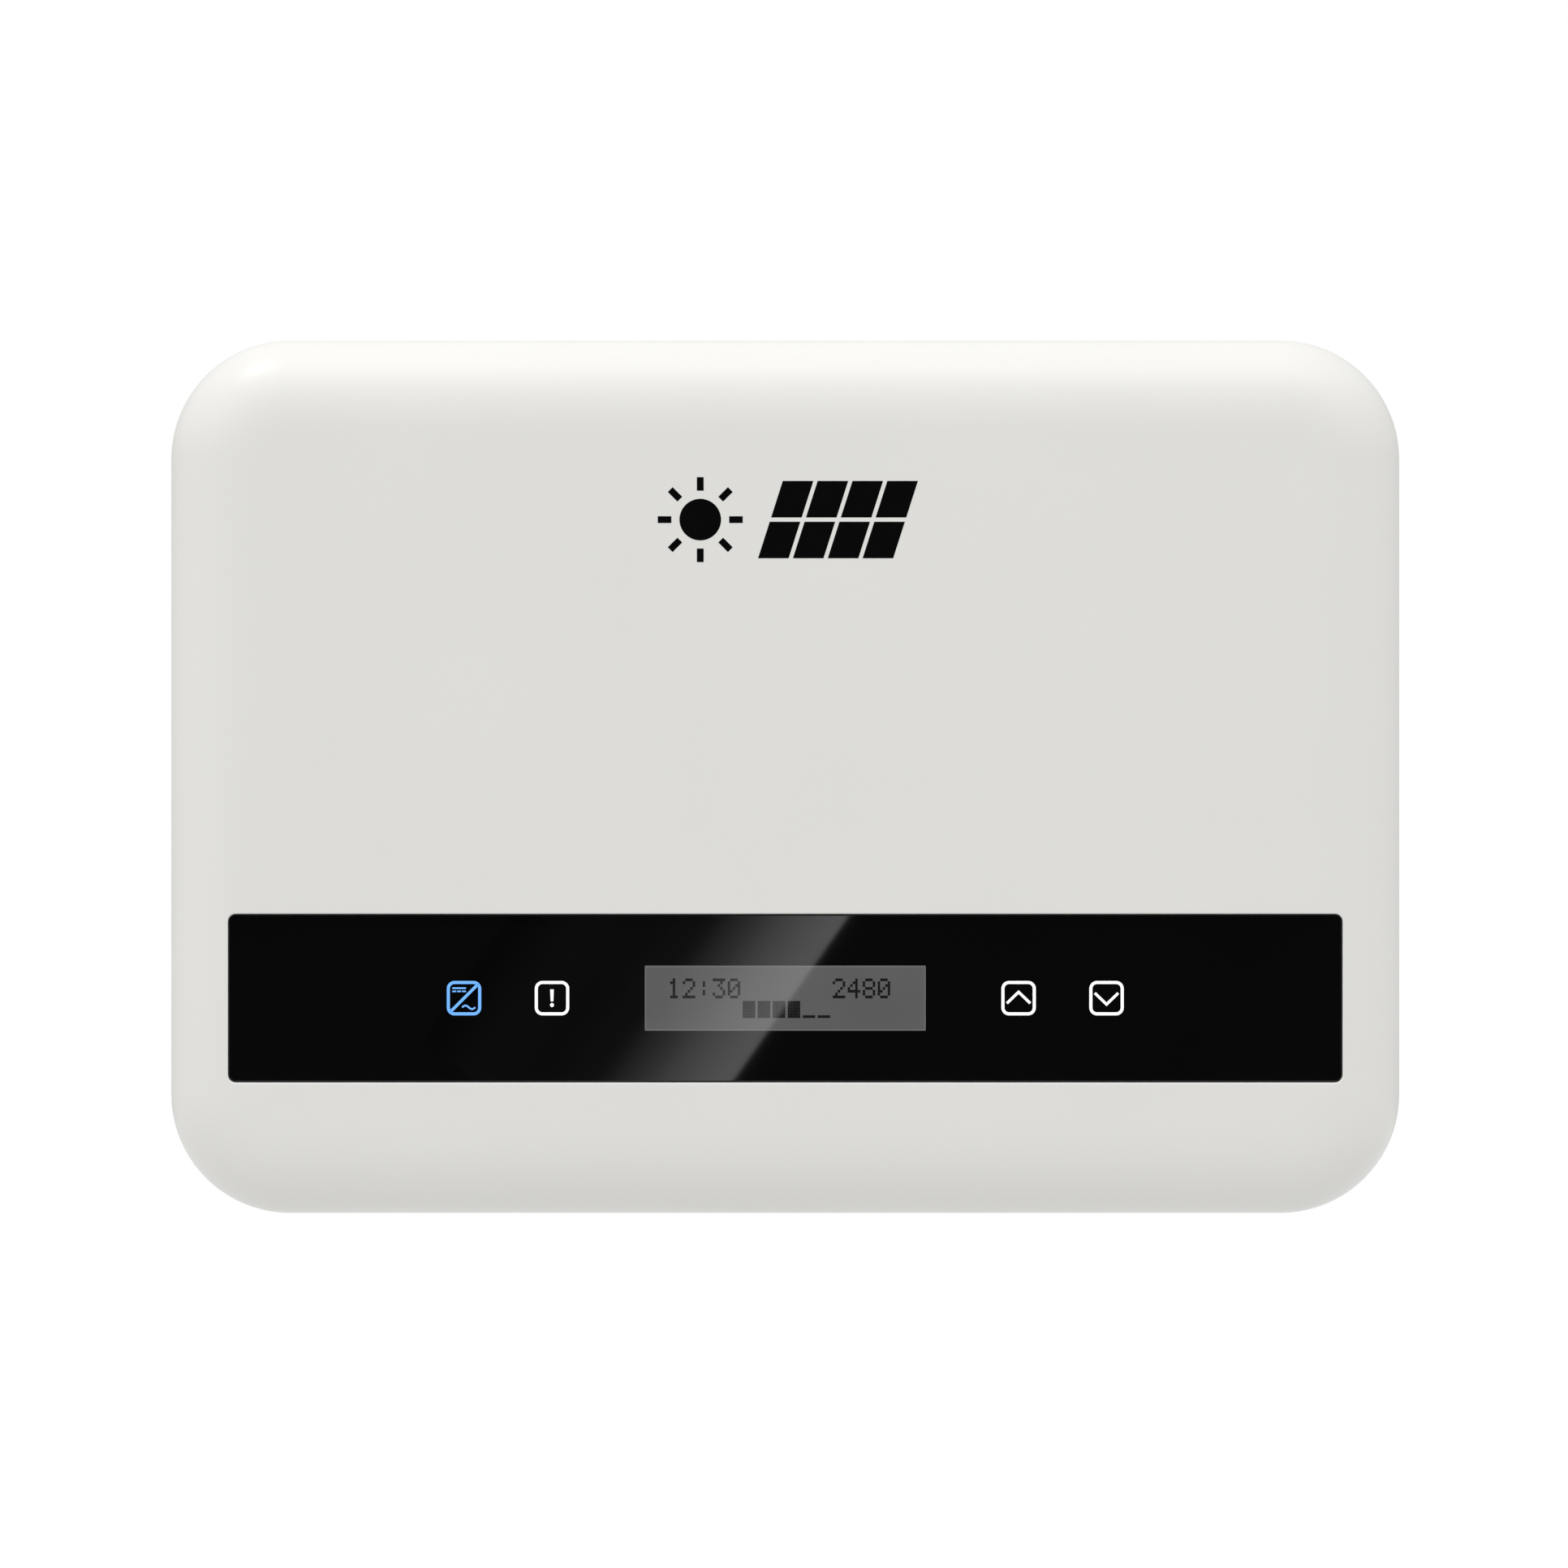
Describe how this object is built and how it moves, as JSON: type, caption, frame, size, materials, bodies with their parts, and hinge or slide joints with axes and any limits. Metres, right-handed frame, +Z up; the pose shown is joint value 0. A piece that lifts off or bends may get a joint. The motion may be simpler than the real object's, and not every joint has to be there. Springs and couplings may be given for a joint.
{
  "type": "string inverter",
  "caption": "Small wall-hung solar inverter: soft-edged white cover, black display strip, finned heatsink, sockets under the case and a hooked wall bracket.",
  "frame": {"origin": "centre of the wall bracket's four screw holes, on the wall's surface", "axes": "+X to the right as seen from the front, +Y into the wall, +Z up"},
  "size_m": [0.29, 0.12, 0.206],
  "materials": {
    "cover_plastic": "smooth satin, moulded",
    "window_plastic": "high gloss black, printed from behind",
    "tape_foam": "double-sided foam tape",
    "cast_aluminium": "pale grey powder coat on a casting",
    "sink_aluminium": "plain extrusion, lightly brushed",
    "sheet_steel": "zinc plated, folded",
    "screw_steel": "zinc plated",
    "seal_rubber": "soft black rubber",
    "knob_plastic": "fine-grained red moulding",
    "switch_plastic": "fine-grained black moulding",
    "gland_plastic": "dark grey nylon",
    "key_foam": "conductive foam",
    "contact_metal": "tin plated",
    "port_steel": "nickel plated, stamped",
    "circuit_board": "green solder mask",
    "display_glass": "polished, printed edge",
    "clear_plastic": "milky translucent",
    "core_ferrite": "painted powder core",
    "copper_wire": "enamelled copper",
    "can_sleeve": "dark sleeve on an aluminium can",
    "component_plastic": "plain moulding",
    "film_box": "moulded box",
    "transformer_tape": "wound with yellow tape",
    "arrester_ceramic": "dipped blue coat",
    "pad_silicone": "grey silicone pad",
    "wire_insulation": "insulated stranded wire",
    "ribbon_plastic": "grey flat cable and its plugs"
  },
  "bodies": {
    "wall_bracket": {"wall_bracket": "sheet_steel"},
    "inverter": {"board_screws": "screw_steel", "bus_capacitors": "can_sleeve", "control_card": "circuit_board", "cover_gasket": "seal_rubber", "cover_screws": "screw_steel", "dc_contacts": "contact_metal", "dc_leads": "wire_insulation", "dc_socket_bodies": "switch_plastic", "display_cable": "ribbon_plastic", "display_window": "window_plastic", "film_capacitors": "film_box", "front_cover": "cover_plastic", "gland_blank": "gland_plastic", "gland_body": "gland_plastic", "gland_seal": "seal_rubber", "ground_screw": "screw_steel", "hanger_plate": "sheet_steel", "hanger_screws": "screw_steel", "heatsink": "sink_aluminium", "heatsink_screws": "screw_steel", "hmi_board": "circuit_board", "hmi_screws": "screw_steel", "inductor_cores": "core_ferrite", "inductor_feet": "component_plastic", "inductor_windings": "copper_wire", "lcd_backlight": "clear_plastic", "lcd_bezel": "port_steel", "lcd_glass": "display_glass", "light_guides": "clear_plastic", "main_board": "circuit_board", "mains_leads": "wire_insulation", "mains_pins": "contact_metal", "mains_socket_body": "switch_plastic", "mains_socket_screws": "screw_steel", "mains_socket_seal": "seal_rubber", "panel_nuts": "switch_plastic", "panel_washers": "seal_rubber", "power_transistors": "component_plastic", "rear_housing": "cast_aluminium", "relays": "component_plastic", "stick_port_body": "switch_plastic", "stick_port_socket": "port_steel", "supply_transformer": "transformer_tape", "surge_arresters": "arrester_ceramic", "switch_bezel": "switch_plastic", "switch_body": "switch_plastic", "switch_seal": "seal_rubber", "terminal_blocks": "component_plastic", "thermal_pads": "pad_silicone", "touch_pads": "key_foam", "transistor_clamp": "sheet_steel", "vent_plug": "gland_plastic", "wall_bumpers": "seal_rubber", "window_tape": "tape_foam"},
    "switch_knob": {"switch_knob": "knob_plastic", "switch_rotor": "switch_plastic"},
    "port_cap": {"stick_port_cap": "seal_rubber"},
    "gland_claw": {"gland_claw": "gland_plastic"},
    "gland_nut": {"gland_nut": "gland_plastic"}
  },
  "joints": [
    {"name": "lift_off", "type": "slide", "parent": "wall_bracket", "child": "inverter", "axis": [0, 0, 1], "range_m": [0, 0.012]},
    {"name": "dc_switch_turn", "type": "hinge", "parent": "inverter", "child": "switch_knob", "pos_m": [-0.096, -0.051, -0.106], "axis": [0, 0, 1], "range_deg": [0, 90]},
    {"name": "port_cap_pull", "type": "slide", "parent": "inverter", "child": "port_cap", "axis": [0, 0, -1], "range_m": [0, 0.02]},
    {"name": "gland_claw_slide", "type": "slide", "parent": "inverter", "child": "gland_claw", "axis": [0, 0, -1], "range_m": [0, 0.003]},
    {"name": "gland_nut_turn", "type": "hinge", "parent": "gland_claw", "child": "gland_nut", "pos_m": [0.042, -0.051, -0.119], "axis": [0, 0, -1], "range_deg": [0, 722]}
  ],
  "couplings": [
    {"joint": "gland_nut_turn", "follows": "gland_claw_slide", "rad_per_m": 4188.8}
  ]
}
